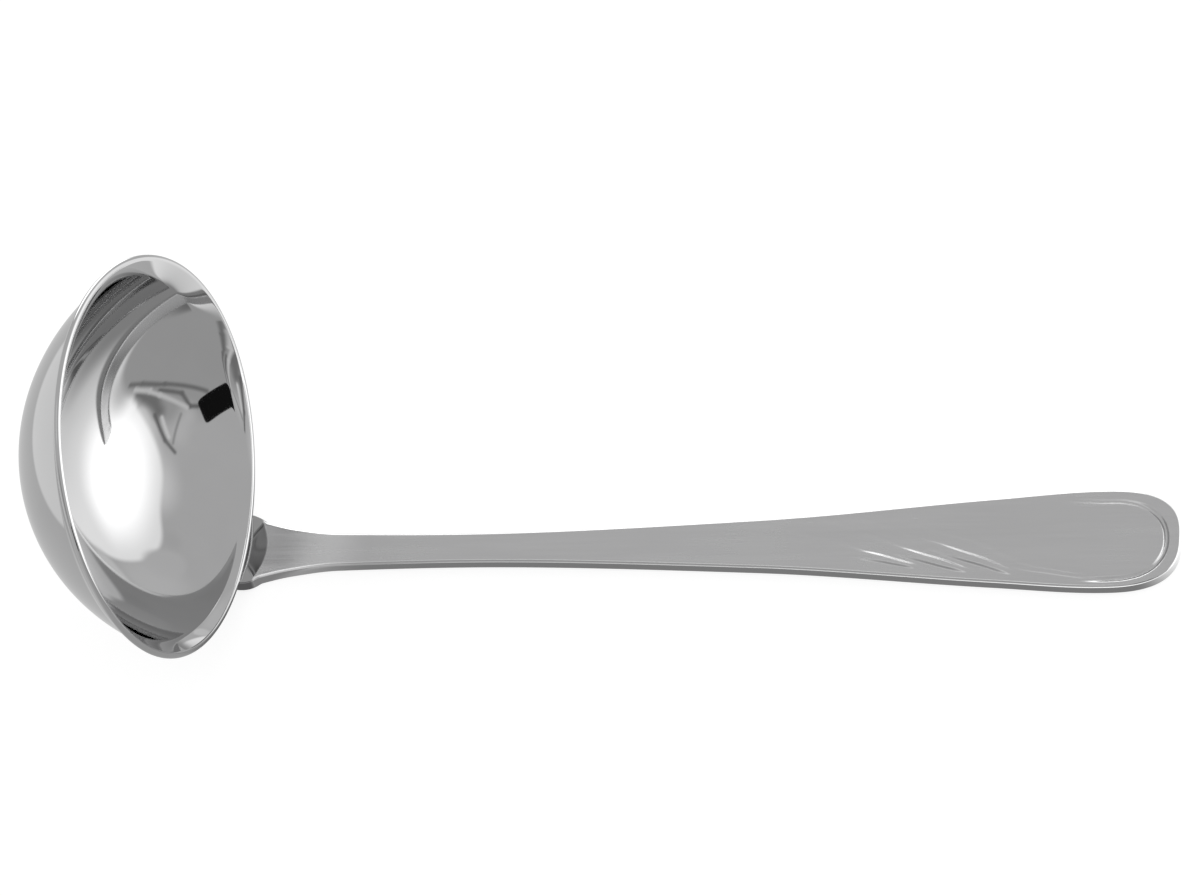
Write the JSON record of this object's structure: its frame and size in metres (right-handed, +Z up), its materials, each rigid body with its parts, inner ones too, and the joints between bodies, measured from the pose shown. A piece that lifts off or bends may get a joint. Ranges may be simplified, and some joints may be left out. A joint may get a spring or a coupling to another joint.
{
  "type": "sauce ladle",
  "caption": "Steel sauce ladle: a deep round bowl with a pouring lip on each side, and a flat tapered handle with grooved ornament, lapped and welded behind the bowl.",
  "frame": {"origin": "middle of the ladle's length and width, in the plane of the handle's flat back", "axes": "+X along the handle to its free end, +Y across the handle, +Z up out of the handle's face; the bowl stands at the -X end and opens towards +X"},
  "size_m": [0.181, 0.0666, 0.063],
  "materials": {
    "mirror_steel": "mirror polished stainless steel",
    "satin_steel": "satin polished stainless steel",
    "weld_steel": "dressed weld"
  },
  "bodies": {
    "root": {"bowl": "mirror_steel", "handle": "satin_steel", "weld_bead": "weld_steel"}
  },
  "joints": []
}
